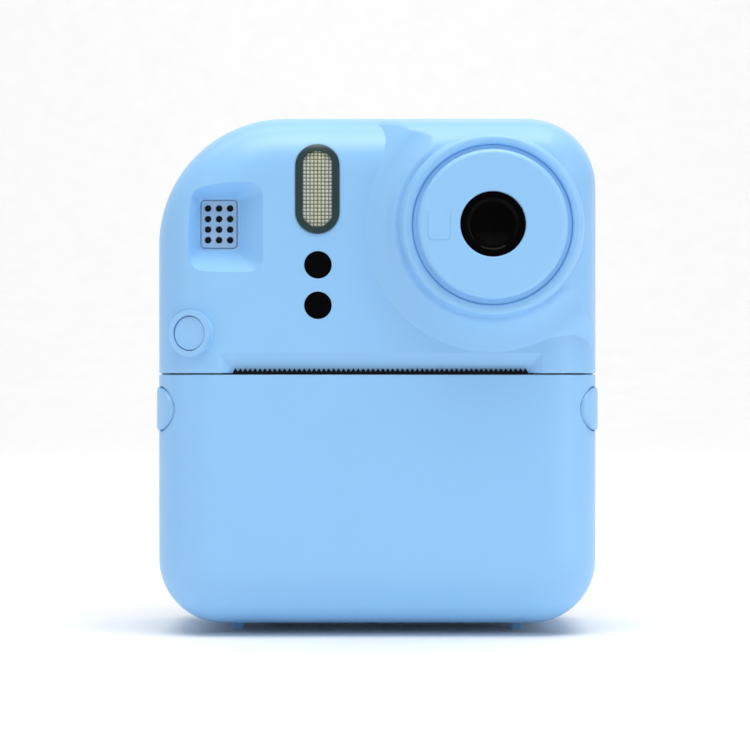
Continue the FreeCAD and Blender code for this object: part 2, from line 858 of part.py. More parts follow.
def shutter_button():
    """Round shutter key, its top a little below the ring."""
    cap = along_shutter(shutter_r, -3.4, shutter_proud - 0.3)
    flange = along_shutter(shutter_r + 0.9, -4.6, -3.8)
    waist = along_shutter(shutter_r - 0.4, -4.6, -3.4)
    stem = along_shutter(1.0, -shutter_stem, -3.4)
    return joined([cap, waist, flange, stem])


def shutter_switch():
    """Push switch under the shutter key."""
    point, outward = shutter_frame()
    half = 3.0
    gap = 0.2
    block = box(-half, half, -half, half, -half, 0.0)
    block.rotate(V(0, 0, 0), V(1, 0, 0), 90)
    block.rotate(V(0, 0, 0), V(0, 0, 1), -shutter_tilt)
    block.translate(point - outward * (shutter_stem + shutter_travel + gap))
    return block


# ================================================================ printer
def involute(angle):
    """Involute function of a pressure angle."""
    return math.tan(angle) - angle


def gear_centres():
    """Depth and height of each gear's axis, following the train from the platen."""
    centres = {"platen": (platen_y, platen_z)}
    steps = (
        ("platen", "idler", platen_teeth + idler_teeth, idler_angle),
        ("idler", "reduction", idler_teeth + small_teeth, reduction_angle),
        ("reduction", "pinion", big_teeth + pinion_teeth, pinion_angle),
    )
    for start, end, teeth, angle in steps:
        distance = module * teeth / 2 + centre_slack
        y, z = centres[start]
        turn = math.radians(angle)
        centres[end] = (y + distance * math.cos(turn), z + distance * math.sin(turn))
    return centres


def meshed_phase(phase, teeth, direction, next_teeth):
    """Angle of a tooth on the next gear, so that it meshes; all in degrees."""
    share = (direction - phase) * teeth / 360.0
    return direction + 180.0 - (0.5 - share) * 360.0 / next_teeth


def gear(teeth, phase, centre, x0, x1, bore):
    """Spur gear square to X with involute flanks."""
    pitch_r = module * teeth / 2
    base_r = pitch_r * math.cos(pressure)
    tip_r = pitch_r + 0.85 * module
    root_r = pitch_r - 1.2 * module
    half_tooth = math.pi / (2 * teeth) - backlash / (2 * pitch_r) + involute(pressure)
    start_r = max(base_r, root_r)
    flank = []
    for step in range(5):
        radius = start_r + (tip_r - start_r) * step / 4
        angle = half_tooth - involute(math.acos(min(1.0, base_r / radius)))
        flank.append((radius, angle))
    if root_r < start_r:
        flank.insert(0, (root_r, flank[0][1]))
    points = []
    for tooth in range(teeth):
        middle = math.radians(phase) + 2 * math.pi * tooth / teeth
        for radius, angle in flank:
            points.append((radius, middle - angle))
        for radius, angle in reversed(flank):
            points.append((radius, middle + angle))
    corners = [V(x0, centre[0] + r * math.cos(a), centre[1] + r * math.sin(a)) for r, a in points]
    face = Part.Face(Part.makePolygon(corners + [corners[0]]))
    body = face.extrude(V(x1 - x0, 0, 0))
    return body.cut(rod(bore, (x0 - 1, *centre), (x1 + 1, *centre)))


def gear_train():
    """All toothed pieces, meshed at rest."""
    centres = gear_centres()
    platen_phase = idler_angle
    idler_phase = meshed_phase(platen_phase, platen_teeth, idler_angle, idler_teeth)
    small_phase = meshed_phase(idler_phase, idler_teeth, reduction_angle, small_teeth)
    big_phase = pinion_angle
    pinion_phase = meshed_phase(big_phase, big_teeth, pinion_angle, pinion_teeth)
    bore = gear_pin_r + running_gap
    small = gear(small_teeth, small_phase, centres["reduction"], inner_layer[0], outer_layer[0], bore)
    big = gear(big_teeth, big_phase, centres["reduction"], outer_layer[0], outer_layer[1], bore)
    return {
        "platen_gear": gear(platen_teeth, platen_phase, centres["platen"], *inner_layer, shaft_r),
        "idler_gear": gear(idler_teeth, idler_phase, centres["idler"], *inner_layer, bore),
        "reduction_gear": joined([small, big]),
        "motor_pinion": gear(pinion_teeth, pinion_phase, centres["pinion"], *outer_layer, motor_shaft_r),
    }


def gear_pins():
    """Fixed pins of the idler and the reduction gear."""
    centres = gear_centres()
    pins = []
    for name, end in (("idler", inner_layer[1] + 0.3), ("reduction", outer_layer[1] + 0.4)):
        pins.append(rod(gear_pin_r, (cheek_in, *centres[name]), (end, *centres[name])))
    return Part.makeCompound(pins)


def stepper_motor():
    """Round stepper motor with its mounting flange."""
    centre = gear_centres()["pinion"]
    can = rod(motor_r, (motor_x[0], *centre), (motor_x[1], *centre))
    can = can.cut(rod(motor_shaft_r + 0.1, (motor_x[0] + 2, *centre), (motor_x[1] + 1, *centre)))
    return can


def motor_shaft():
    """Motor spindle that carries the pinion."""
    centre = gear_centres()["pinion"]
    return rod(motor_shaft_r, (motor_x[0] + 2.2, *centre), (outer_layer[1] + 0.3, *centre))


def platen_shaft():
    """Steel shaft of the platen, long enough on the right for its gear."""
    return rod(shaft_r, (-cheek_out - 0.6, platen_y, platen_z), (inner_layer[1] + 0.2, platen_y, platen_z))


def platen_roller():
    """Rubber sleeve on the platen shaft."""
    return tube(platen_r, shaft_r, (-platen_half, platen_y, platen_z), (platen_half, platen_y, platen_z))


def platen_bushes():
    """Plain bearings in the door's lugs."""
    bushes = []
    for side in (-1, 1):
        start = (side * (cheek_in - 0.3), platen_y, platen_z)
        end = (side * (cheek_out + 0.2), platen_y, platen_z)
        bushes.append(tube(bush_r, shaft_r + running_gap, start, end))
    return Part.makeCompound(bushes)


def print_head():
    """Thermal print head: ceramic strip on a small board, with a raised heat line."""
    plate = box(-head_half, head_half, head_y + 0.4, head_y + 1.4, *head_z)
    line = box(1.5 - head_half, head_half - 1.5, head_y, head_y + 0.4, platen_z - 1.6, platen_z + 1.6)
    return joined([plate, line])


def head_bracket():
    """Metal plate behind the print head."""
    return box(-bracket_half, bracket_half, head_y + 1.4, head_y + 2.6, *bracket_z)


def head_springs():
    """Two bent leaf springs that press the head on the platen."""
    y = head_y + 2.6
    outline = (
        (y, 45.2),
        (y + 0.3, 45.2),
        (y + 2.7, 40.6),
        (y + 2.7, 39.4),
        (y + 3.0, 39.4),
        (y + 3.0, 40.8),
        (y + 0.45, 45.9),
        (y, 45.9),
    )
    springs = []
    for x in (-leaf_x, leaf_x):
        springs.append(side_plate(outline, x - leaf_half, x + leaf_half))
    return Part.makeCompound(springs)


def printer_frame():
    """Inner frame: two cheeks, the paper trough, the deck over it and a rear rail for the springs."""
    centres = gear_centres()
    inside = roll_r + trough_gap
    outside = inside + trough_wall
    back = roll_y + outside
    cheek_front = -2.4
    cheek_low = 4.6
    outline = (
        (cheek_front, 14.0),
        (cheek_front, frame_top_z),
        (back, frame_top_z),
        (back, cheek_low),
        (1.8, cheek_low),
    )
    right = side_plate(outline, cheek_in, cheek_out)
    motor_y, motor_z = centres["pinion"]
    ear = rod(motor_r + 1.2, (cheek_in, motor_y, motor_z), (cheek_out, motor_y, motor_z))
    neck = box(cheek_in, cheek_out, motor_y - 5.0, motor_y + 5.0, frame_top_z - 3.0, motor_z)
    trough = tube(outside, inside, (-cheek_in, roll_y, roll_z), (cheek_in, roll_y, roll_z))
    trough = trough.cut(box(-far, far, -far, roll_y - 2.0, 0, far))
    trough = trough.cut(box(-far, far, -far, far, roll_z + 12.0, 2 * far))
    deck = box(-cheek_in, cheek_in, head_y + 6.75, back, frame_top_z - 1.4, frame_top_z)
    rail = box(-cheek_in, cheek_in, head_y + 5.6, head_y + 7.0, 39.2, frame_top_z)
    body = joined([mirrored(right), right, ear, neck, trough, deck, rail])
    for name, radius in (("idler", gear_pin_r), ("reduction", gear_pin_r), ("pinion", motor_shaft_r + 0.3)):
        body = body.cut(rod(radius, (cheek_in - 1, *centres[name]), (cheek_out + 1, *centres[name])))
    return body


def paper_roll():
    """Wound thermal paper."""
    return tube(roll_r, core_r, (-roll_half, roll_y, roll_z), (roll_half, roll_y, roll_z))


def paper_core():
    """Plastic tube inside the roll."""
    return tube(core_r, core_bore_r, (-roll_half, roll_y, roll_z), (roll_half, roll_y, roll_z))


# ================================================================ back and electronics
def side_key_places():
    """Places of the three round keys beside the direction pad."""
    return ((-side_key_x, pad_z + 8.0), (side_key_x, pad_z + 8.0), (side_key_x, pad_z - 8.0))


def arc_block(turn, grow, y0, y1):
    """Curved key of the direction pad, turned about the pad's centre; 0 points up."""
    half_angle = math.radians(arc_key_half_angle) + grow / arc_key_in
    inner = arc_key_in - grow
    outer = arc_key_out + grow

    def at(radius, angle):
        return V(radius * math.sin(angle), y0, pad_z + radius * math.cos(angle))

    edges = [
        Part.Arc(at(outer, -half_angle), at(outer, 0), at(outer, half_angle)).toShape(),
        Part.LineSegment(at(outer, half_angle), at(inner, half_angle)).toShape(),
        Part.Arc(at(inner, half_angle), at(inner, 0), at(inner, -half_angle)).toShape(),
        Part.LineSegment(at(inner, -half_angle), at(outer, -half_angle)).toShape(),
    ]
    block = Part.Face(Part.Wire(edges)).extrude(V(0, y1 - y0, 0))
    block.rotate(V(0, 0, pad_z), V(0, 1, 0), turn)
    return block


def arc_key(turn):
    """One direction key with its flange and nib."""
    cap = arc_block(turn, 0.0, key_back_y, key_proud_y)
    cap = cap.makeFillet(0.35, edges_at_y(cap, key_proud_y))
    flange = arc_block(turn, 0.5, *key_flange_y)
    angle = math.radians(turn)
    middle = (arc_key_in + arc_key_out) / 2
    x = middle * math.sin(angle)
    z = pad_z + middle * math.cos(angle)
    nib = rod(nib_r, (x, nib_y, z), (x, key_back_y, z))
    return joined([cap, flange, nib])


def round_key(x, z, radius):
    """Round key with its flange and nib."""
    cap = rod(radius, (x, key_back_y, z), (x, key_proud_y, z))
    cap = cap.makeFillet(0.4, edges_at_y(cap, key_proud_y))
    flange = rod(radius + 0.6, (x, key_flange_y[0], z), (x, key_flange_y[1], z))
    nib = rod(nib_r, (x, nib_y, z), (x, key_back_y, z))
    return joined([cap, flange, nib])


def key_centres():
    """Where each key presses its switch."""
    middle = (arc_key_in + arc_key_out) / 2
    places = [(0, pad_z), (0, pad_z + middle), (0, pad_z - middle), (middle, pad_z), (-middle, pad_z)]
    places.extend(side_key_places())
    return places


def keypad_board():
    """Circuit board under the keys."""
    return rounded_slab(-keypad_half, keypad_half, *keypad_z, 2.0, *keypad_y)


def key_switches():
    """Low push switches on the keypad board."""
    switches = []
    half = switch_half
    base_y = keypad_y[1]
    dome_y = base_y + switch_base
    for x, z in key_centres():
        base = box(x - half, x + half, base_y, dome_y, z - half, z + half)
        dome = rod(dome_r, (x, dome_y, z), (x, switch_top_y, z))
        switches.append(joined([base, dome]))
    return Part.makeCompound(switches)


def screen_window():
    """Dark cover window of the display."""
    gap = 0.08
    return rounded_slab(
        -screen_half_width + gap,
        screen_half_width - gap,
        screen_z[0] + gap,
        screen_z[1] - gap,
        2.9,
        back_y - screen_step,
        back_y - 0.05,
    )


def lcd_panel():
    """Display module behind the window."""
    half = lcd_half_width - 0.5
    return box(-half, half, 22.2, back_y - screen_step - 0.1, lcd_z[0] + 0.5, lcd_z[1] - 0.5)


def rear_lens_window():
    """Small round window of the rear camera."""
    return rod(rear_lens_r - 0.02, (0, back_y - 1.1, rear_lens_z), (0, back_y - 0.1, rear_lens_z))


def rear_camera_module():
    """Rear camera block and barrel."""
    block = box(-3.8, 3.8, 19.6, 22.4, rear_lens_z - 3.8, rear_lens_z + 3.8)
    barrel = rod(2.5, (0, 22.4, rear_lens_z), (0, 25.2, rear_lens_z))
    return joined([block, barrel])


def usb_block(grow, x0, x1):
    """Rounded outline of the charging socket, along X."""
    half_z = 4.45 + grow
    half_y = 1.6 + grow
    slab = rounded_slab(-half_z, half_z, -half_y, half_y, half_y - 0.01, 0, x1 - x0)
    slab.rotate(V(0, 0, 0), V(0, 1, 0), 90)
    slab.rotate(V(0, 0, 0), V(0, 0, 1), -90)
    slab.translate(V(x0, usb_y, usb_z))
    return slab


def usb_socket():
    """Metal charging socket with its tongue."""
    inner, outer = usb_x
    shell = usb_block(0.0, inner, outer).cut(usb_block(-0.3, inner + 1.2, outer + 1.0))
    tongue = box(inner + 0.8, outer - 0.7, usb_y - 0.3, usb_y + 0.3, usb_z - 3.2, usb_z + 3.2)
    return joined([shell, tongue])


def card_socket():
    """Memory card socket on the main board."""
    return box(*card_x, board_y[0] - 1.5, board_y[0], card_z[0] - 2.9, card_z[1] + 2.9)


def main_board():
    """Main circuit board, shaped round the screw tubes."""
    board = box(*board_x, *board_y, *board_z)
    tab = box(board_x[1] - 1.0, board_tab_x, *board_y, *board_tab_z)
    body = joined([board, tab]).common(case_block(wall + 1.0))
    for x, z in case_screw_places:
        body = body.cut(rod(boss_r + 0.4, (x, 0, z), (x, far, z)))
    return body


def main_chips():
    """Processor, memory and power parts on the main board: place, half sizes and height."""
    parts = (
        (-14.0, 76.0, 7.0, 7.0, 1.4),
        (2.0, 84.0, 5.0, 4.0, 1.2),
        (4.0, 66.0, 4.5, 4.5, 1.6),
        (-24.0, 62.0, 3.0, 3.0, 2.4),
        (16.0, 93.0, 3.5, 2.2, 1.0),
    )
    chips = []
    for x, z, half_x, half_z, height in parts:
        chips.append(box(x - half_x, x + half_x, board_y[0] - height, board_y[0], z - half_z, z + half_z))
    return Part.makeCompound(chips)


def battery():
    """Flat rechargeable cell."""
    block = box(*battery_x, *battery_y, *battery_z)
    return block.makeFillet(1.2, block.Edges)


def screws():
    """Self-tapping screws of the case."""
    seat = screw_seat_y
    top = seat + screw_head
    group = []
    for x, z in case_screw_places:
        shank = rod(screw_r, (x, seam_y - 6.0, z), (x, seat, z))
        head = rod(screw_head_r, (x, seat, z), (x, top, z))
        slot = box(x - 1.3, x + 1.3, top - 0.5, top + 1.0, z - 0.25, z + 0.25)
        cross = box(x - 0.25, x + 0.25, top - 0.5, top + 1.0, z - 1.3, z + 1.3)
        group.append(joined([shank, head]).cut(slot).cut(cross))
    return Part.makeCompound(group)


# ================================================================ write all nodes
def main():
    os.makedirs("parts", exist_ok=True)
    outer = case_block(0.0)
    cavity = case_block(wall)
    button = release_button()
    spring = release_spring()
    nodes = {
        "front_shell": front_shell(outer, cavity),
        "rear_shell": rear_shell(outer, cavity),
        "paper_door": paper_door(outer, cavity),
        "door_hinge_pins": hinge_pins(),
        "release_button_right": button,
        "release_button_left": mirrored(button),
        "release_spring_right": spring,
        "release_spring_left": mirrored(spring),
        "tear_blade": tear_blade(),
        "lens_face_disc": lens_face_disc(),
        "lens_window": lens_window(),
        "lens_holder": lens_holder(),
        "front_camera_module": front_camera_module(),
        "flash_bezel": flash_bezel(),
        "flash_lens": flash_lens(),
        "flash_board": flash_board(),
        "flash_leds": flash_leds(),
        "upper_sensor_window": sensor_window(sensor_z_places[0]),
        "lower_sensor_window": sensor_window(sensor_z_places[1]),
        "sensor_board": sensor_board(),
        "speaker_grille": speaker_grille(),
        "speaker": speaker(),
        "shutter_button": shutter_button(),
        "shutter_switch": shutter_switch(),
        "gear_pins": gear_pins(),
        "stepper_motor": stepper_motor(),
        "motor_shaft": motor_shaft(),
        "platen_shaft": platen_shaft(),
        "platen_roller": platen_roller(),
        "platen_bushes": platen_bushes(),
        "print_head": print_head(),
        "head_bracket": head_bracket(),
        "head_springs": head_springs(),
        "printer_frame": printer_frame(),
        "paper_roll": paper_roll(),
        "paper_core": paper_core(),
        "key_up": arc_key(0),
        "key_right": arc_key(270),
        "key_down": arc_key(180),
        "key_left": arc_key(90),
        "key_ok": round_key(0, pad_z, ok_r),
        "key_power": round_key(*side_key_places()[0], side_key_r),
        "key_play": round_key(*side_key_places()[1], side_key_r),
        "key_print": round_key(*side_key_places()[2], side_key_r),
        "keypad_board": keypad_board(),
        "key_switches": key_switches(),
        "screen_window": screen_window(),
        "lcd_panel": lcd_panel(),
        "rear_lens_window": rear_lens_window(),
        "rear_camera_module": rear_camera_module(),
        "usb_socket": usb_socket(),
        "card_socket": card_socket(),
        "main_board": main_board(),
        "main_chips": main_chips(),
        "battery": battery(),
        "screws": screws(),
    }
    nodes.update(gear_train())
    for name, shape in nodes.items():
        save(name, shape)
        print(name, shape.isValid(), len(shape.Solids), round(shape.Volume, 1))


main()
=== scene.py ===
import json
import math

import bmesh
import bpy
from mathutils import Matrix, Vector


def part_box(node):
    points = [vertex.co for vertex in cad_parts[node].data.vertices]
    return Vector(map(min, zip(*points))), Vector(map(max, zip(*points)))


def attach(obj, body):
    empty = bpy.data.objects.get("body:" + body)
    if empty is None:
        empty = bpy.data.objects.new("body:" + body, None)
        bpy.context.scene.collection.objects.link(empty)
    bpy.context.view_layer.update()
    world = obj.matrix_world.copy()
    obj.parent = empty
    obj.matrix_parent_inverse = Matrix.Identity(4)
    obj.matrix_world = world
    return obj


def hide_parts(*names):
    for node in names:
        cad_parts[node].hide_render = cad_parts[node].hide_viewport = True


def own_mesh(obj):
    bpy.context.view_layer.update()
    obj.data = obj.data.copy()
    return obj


# The kids instant-print camera: materials for the moulded shells and the works inside, a prismatic
# flash window, a dished lens glass, key symbols, a pale studio and the camera. Metres throughout.

MM = 0.001
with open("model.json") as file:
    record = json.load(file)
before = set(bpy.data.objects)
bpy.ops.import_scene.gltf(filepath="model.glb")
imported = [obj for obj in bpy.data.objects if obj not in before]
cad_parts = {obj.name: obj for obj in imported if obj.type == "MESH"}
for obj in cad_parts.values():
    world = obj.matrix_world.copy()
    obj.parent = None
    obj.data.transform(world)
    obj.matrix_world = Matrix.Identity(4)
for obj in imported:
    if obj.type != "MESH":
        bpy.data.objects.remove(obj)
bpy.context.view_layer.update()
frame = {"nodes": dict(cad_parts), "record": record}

# ---------------------------------------------------------------- driving dimensions
front_low, front_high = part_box("front_shell")
bezel_low, bezel_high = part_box("flash_bezel")
flash_low, flash_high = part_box("flash_lens")
lens_low, lens_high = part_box("lens_window")
key_face_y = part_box("key_ok")[1].y

FACE_Y = -17.4 * MM            # flat front face of the case
FRONT_ROUND = 11.5 * MM        # rounding of its front edge
PRISM_COLUMNS = 8              # pyramids across the flash window
PRISM_DEPTH = 0.30 * MM
PRISM_MARGIN = 0.55            # how far outside the window a pyramid may stand, in its own widths
# Painted light for the flash window's base colour: painted shade in the prism valleys, and painted glints
# on the pyramid points, cool at the sides and yellow down the middle.
PAINTED_VALLEY_SHADE_COLOUR = (0.055, 0.075, 0.066)
COOL_PAINTED_GLINT_COLOUR = (0.86, 0.92, 0.88)
WARM_PAINTED_GLINT_COLOUR = (0.88, 0.88, 0.58)
PAINTED_GLINT_SPREAD = 0.6               # below 1 the painted glints widen
LENS_INNER_RING = 4.9 * MM
LENS_BEVEL = 0.12 * MM         # chamfer of the lens window's rim
LENS_STEP = 0.15 * MM          # step at the inner ring
LENS_DISH = 0.55 * MM          # depth of the dish inside it
LENS_DISH_SLOPE = 0.5 * MM     # width of the dish's sloping side
LENS_DOME_GAP = 0.6 * MM       # from the inner ring to the foot of the dome
LENS_DOME_RISE = 0.35 * MM
LENS_DOME_STEPS = 8
LENS_SMOOTH_DEGREES = 40
SIGN_HEIGHT = 0.05 * MM        # how far the key symbols stand out
POWER_RING_R = 1.5             # open ring of the power sign, in millimetres like all sign outlines
POWER_RING_INNER = 0.72        # its inner edge, against its outer edge
POWER_RING_START = 50          # degrees
POWER_RING_SWEEP = 280
POWER_RING_STEPS = 24
MERGE_DISTANCE = 1e-7          # points closer than this become one
NOISE_LOW = 0.3                # middle range of a noise, stretched to its full effect
NOISE_HIGH = 0.7
MIX_FIRST = 6                  # colour sockets of a Mix node
MIX_SECOND = 7
MIX_RESULT = 2

CAMERA_X = -0.46 * MM
CAMERA_Z = 51.5 * MM
CAMERA_DISTANCE = 450.0 * MM   # from the camera to the front face
SENSOR = 36.0
FOCAL = 110.7

AIR_STRENGTH = 0.335           # pale surroundings
TOP_WATTS = 6.75
RIGHT_WATTS = 2.2
LEFT_WATTS = 1.2
WASH_WATTS = 27.0
FLOOR_HALF = 4.0               # half the width of the studio floor
FLOOR_BEND_START = 1.2         # where the floor begins to curve up
FLOOR_BEND_R = 0.8
FLOOR_BEND_STEPS = 12


# ================================================================ node helpers
class Graph:
    """A material's nodes, added left to right."""

    def __init__(self, name):
        self.material = bpy.data.materials.new(name)
        self.material.use_nodes = True
        self.tree = self.material.node_tree
        self.shader = self.tree.nodes["Principled BSDF"]
        self.coords = self.add("ShaderNodeTexCoord").outputs["Object"]

    def add(self, kind, **settings):
        node = self.tree.nodes.new(kind)
        for key, value in settings.items():
            setattr(node, key, value)
        return node

    def join(self, source, target):
        self.tree.links.new(source, target)

    def noise(self, per_metre, detail=2.0, stretch=(1.0, 1.0, 1.0)):
        """Noise value with a given number of features in a metre."""
        mapping = self.add("ShaderNodeMapping")
        mapping.inputs["Scale"].default_value = [per_metre * s for s in stretch]
        self.join(self.coords, mapping.inputs["Vector"])
        texture = self.add("ShaderNodeTexNoise")
        texture.inputs["Scale"].default_value = 1.0
        texture.inputs["Detail"].default_value = detail
        self.join(mapping.outputs["Vector"], texture.inputs["Vector"])
        return texture.outputs["Fac"]

    def ramp(self, factor, low, high):
        """Value moved from the middle range of a noise to the range low..high."""
        node = self.add("ShaderNodeMapRange")
        node.inputs["From Min"].default_value = NOISE_LOW
        node.inputs["From Max"].default_value = NOISE_HIGH
        node.inputs["To Min"].default_value = low
        node.inputs["To Max"].default_value = high
        self.join(factor, node.inputs["Value"])
        return node.outputs["Result"]

    def blend(self, factor, first, second):
        """Colour between two colours, each a socket or three numbers."""
        node = self.add("ShaderNodeMix", data_type="RGBA")
        self.join(factor, node.inputs["Factor"])
        for index, colour in ((MIX_FIRST, first), (MIX_SECOND, second)):
            if isinstance(colour, tuple):
                node.inputs[index].default_value = (*colour, 1.0)
            else:
                self.join(colour, node.inputs[index])
        return node.outputs[MIX_RESULT]

    def mottle(self, factor, first, second):
        """Base colour that drifts between two colours with a noise."""
        self.join(self.blend(self.ramp(factor, 0.0, 1.0), first, second), self.shader.inputs["Base Color"])

    def roughen(self, factor, low, high):
        """Roughness that drifts between two values with a noise."""
        self.join(self.ramp(factor, low, high), self.shader.inputs["Roughness"])

    def math(self, operation, first, second=0.0):
        """Result of a sum on one or two values, each a socket or a number."""
        node = self.add("ShaderNodeMath", operation=operation)
        for index, value in enumerate((first, second)):
            if isinstance(value, (int, float)):
                node.inputs[index].default_value = value
            else:
                self.join(value, node.inputs[index])
        return node.outputs["Value"]

    def along(self, origin, pitch):
        """X and Z of a point, counted in half waves of a lattice from its origin."""
        mapping = self.add("ShaderNodeMapping", vector_type="TEXTURE")
        mapping.inputs["Location"].default_value = origin
        mapping.inputs["Scale"].default_value = (pitch / math.pi, 1.0, pitch / math.pi)
        self.join(self.coords, mapping.inputs["Vector"])
        parts = self.add("ShaderNodeSeparateXYZ")
        self.join(mapping.outputs["Vector"], parts.inputs["Vector"])
        return parts.outputs["X"], parts.outputs["Z"]

    def soft_edges(self, radius):
        """Normal that rounds hard edges a little."""
        node = self.add("ShaderNodeBevel", samples=6)
        node.inputs["Radius"].default_value = radius
        return node.outputs["Normal"]

    def bump(self, height, distance, strength, normal=None):
        """Feeds a height into the shader's normal."""
        node = self.add("ShaderNodeBump")
        node.inputs["Distance"].default_value = distance
        node.inputs["Strength"].default_value = strength
        self.join(height, node.inputs["Height"])
        if normal is not None:
            self.join(normal, node.inputs["Normal"])
        self.join(node.outputs["Normal"], self.shader.inputs["Normal"])

    def set(self, **values):
        """Constants on the shader's own sockets; underscores stand for spaces."""
        for key, value in values.items():
            self.shader.inputs[key.replace("_", " ")].default_value = value


def shade(colour, amount):
    """Colour made lighter or darker."""
    return tuple(max(0.0, min(1.0, channel * amount)) for channel in colour)


# ================================================================ materials
def moulded_plastic(name, colour, rough=(0.36, 0.46), grain=0.012, edge=0.35, coat=0.0):
    """Injection-moulded plastic: faint flow marks, spark-eroded grain, softened edges."""
    g = Graph(name)
    flow = g.noise(38.0, 3.0, (1.0, 1.0, 0.5))
    g.mottle(flow, shade(colour, 0.975), shade(colour, 1.02))
    g.roughen(g.noise(160.0, 3.0), *rough)
    g.bump(g.noise(5200.0, 2.0), grain * MM, 0.5, g.soft_edges(edge * MM))
    g.set(IOR=1.52, Coat_Weight=coat, Coat_Roughness=0.2)
    return g.material


def shell_plastic(name, colour):
    """The case plastic: satin, a little translucent, handled to a sheen here and there."""
    g = Graph(name)
    flow = g.noise(30.0, 3.0, (1.0, 1.0, 0.45))
    g.mottle(flow, shade(colour, 0.985), shade(colour, 1.015))
    g.roughen(g.noise(70.0, 4.0), 0.33, 0.42)
    g.bump(g.noise(6500.0, 2.0), 0.010 * MM, 0.45, g.soft_edges(0.32 * MM))
    g.set(IOR=1.5, Coat_Weight=0.12, Coat_Roughness=0.25)
    g.shader.subsurface_method = "BURLEY"
    g.set(Subsurface_Weight=0.08, Subsurface_Scale=0.6 * MM)
    return g.material


def polished_black(name, colour=(0.0012, 0.0012, 0.0015), rough=(0.05, 0.1)):
    """Glossy black window with a trace of handling."""
    g = Graph(name)
    smear = g.noise(220.0, 5.0, (1.0, 1.0, 0.3))
    g.mottle(smear, colour, shade(colour, 1.6))
    g.roughen(smear, *rough)
    g.bump(g.noise(900.0, 1.0), 0.002 * MM, 0.2, g.soft_edges(0.15 * MM))
    g.set(IOR=1.3, Specular_IOR_Level=0.1)
    return g.material


def flash_grid():
    """Corners of the flash window's oval and the pitch of its prisms."""
    edge = (bezel_high.x - bezel_low.x - (flash_high.x - flash_low.x)) / 2
    low = Vector((flash_low.x, 0.0, bezel_low.z + edge))
    high = Vector((flash_high.x, 0.0, bezel_high.z - edge))
    return low, high, (high.x - low.x) / PRISM_COLUMNS


def clear_plastic(name):
    """Prismatic window of the flash, with light painted into its base colour: painted glints on the pyramid
    points, painted shade in the valleys, and the painted glints turning yellow down the middle.
    """
    g = Graph(name)
    low, high, pitch = flash_grid()
    x, z = g.along(low, pitch)
    across = g.math("ABSOLUTE", g.math("SINE", x))
    upwards = g.math("ABSOLUTE", g.math("SINE", z))
    # painted glints: bright where the pyramids' points stand, painted shade between them
    painted_glints = g.math("MULTIPLY", across, upwards)
    middle = g.math("SUBTRACT", g.math("DIVIDE", x, PRISM_COLUMNS * math.pi / 2), 1.0)
    warm_glint_share = g.math("SUBTRACT", 1.0, g.math("ABSOLUTE", middle))
    painted_glint_colour = g.blend(warm_glint_share, COOL_PAINTED_GLINT_COLOUR, WARM_PAINTED_GLINT_COLOUR)
    # painted glints and painted valley shade mixed into one base colour
    lattice = g.blend(g.math("POWER", painted_glints, PAINTED_GLINT_SPREAD), PAINTED_VALLEY_SHADE_COLOUR, painted_glint_colour)
    g.join(lattice, g.shader.inputs["Base Color"])
    g.roughen(g.noise(500.0, 3.0), 0.08, 0.18)
    g.bump(g.noise(2500.0, 1.0), 0.004 * MM, 0.3)
    g.set(IOR=1.49, Transmission_Weight=0.25)
    return g.material


def brushed_metal(name, colour, rough=(0.22, 0.38), stretch=(0.06, 1.0, 1.0), edge=0.12):
    """Drawn or rolled metal with fine lines along X."""
    g = Graph(name)
    lines = g.noise(4200.0, 3.0, stretch)
    g.mottle(g.noise(240.0, 3.0), shade(colour, 0.82), shade(colour, 1.06))
    g.roughen(lines, *rough)
    g.bump(lines, 0.006 * MM, 0.5, g.soft_edges(edge * MM))
    g.set(Metallic=1.0)
    return g.material


def ground_rubber(name):
    """Ground rubber sleeve: dull, finely ribbed along the roller."""
    g = Graph(name)
    grit = g.noise(2600.0, 4.0, (1.0, 0.5, 0.5))
    g.mottle(grit, (0.016, 0.016, 0.017), (0.045, 0.045, 0.046))
    g.roughen(grit, 0.62, 0.85)
    g.bump(grit, 0.03 * MM, 0.6)
    g.set(IOR=1.5)
    return g.material


def circuit_board(name):
    """Solder mask over copper tracks."""
    g = Graph(name)
    tracks = g.add("ShaderNodeTexBrick", offset=0.5, squash=0.6)
    tracks.inputs["Scale"].default_value = 260.0
    tracks.inputs["Mortar Size"].default_value = 0.045
    tracks.inputs["Color1"].default_value = (0.012, 0.13, 0.055, 1.0)
    tracks.inputs["Color2"].default_value = (0.018, 0.16, 0.07, 1.0)
    tracks.inputs["Mortar"].default_value = (0.03, 0.24, 0.11, 1.0)
    upright = g.add("ShaderNodeMapping")
    upright.inputs["Rotation"].default_value = (math.pi / 2, 0.0, 0.0)
    g.join(g.coords, upright.inputs["Vector"])
    g.join(upright.outputs["Vector"], tracks.inputs["Vector"])
    g.join(tracks.outputs["Color"], g.shader.inputs["Base Color"])
    g.roughen(g.noise(300.0, 2.0), 0.22, 0.36)
    g.bump(tracks.outputs["Fac"], 0.03 * MM, 0.5)
    g.set(IOR=1.5)
    return g.material


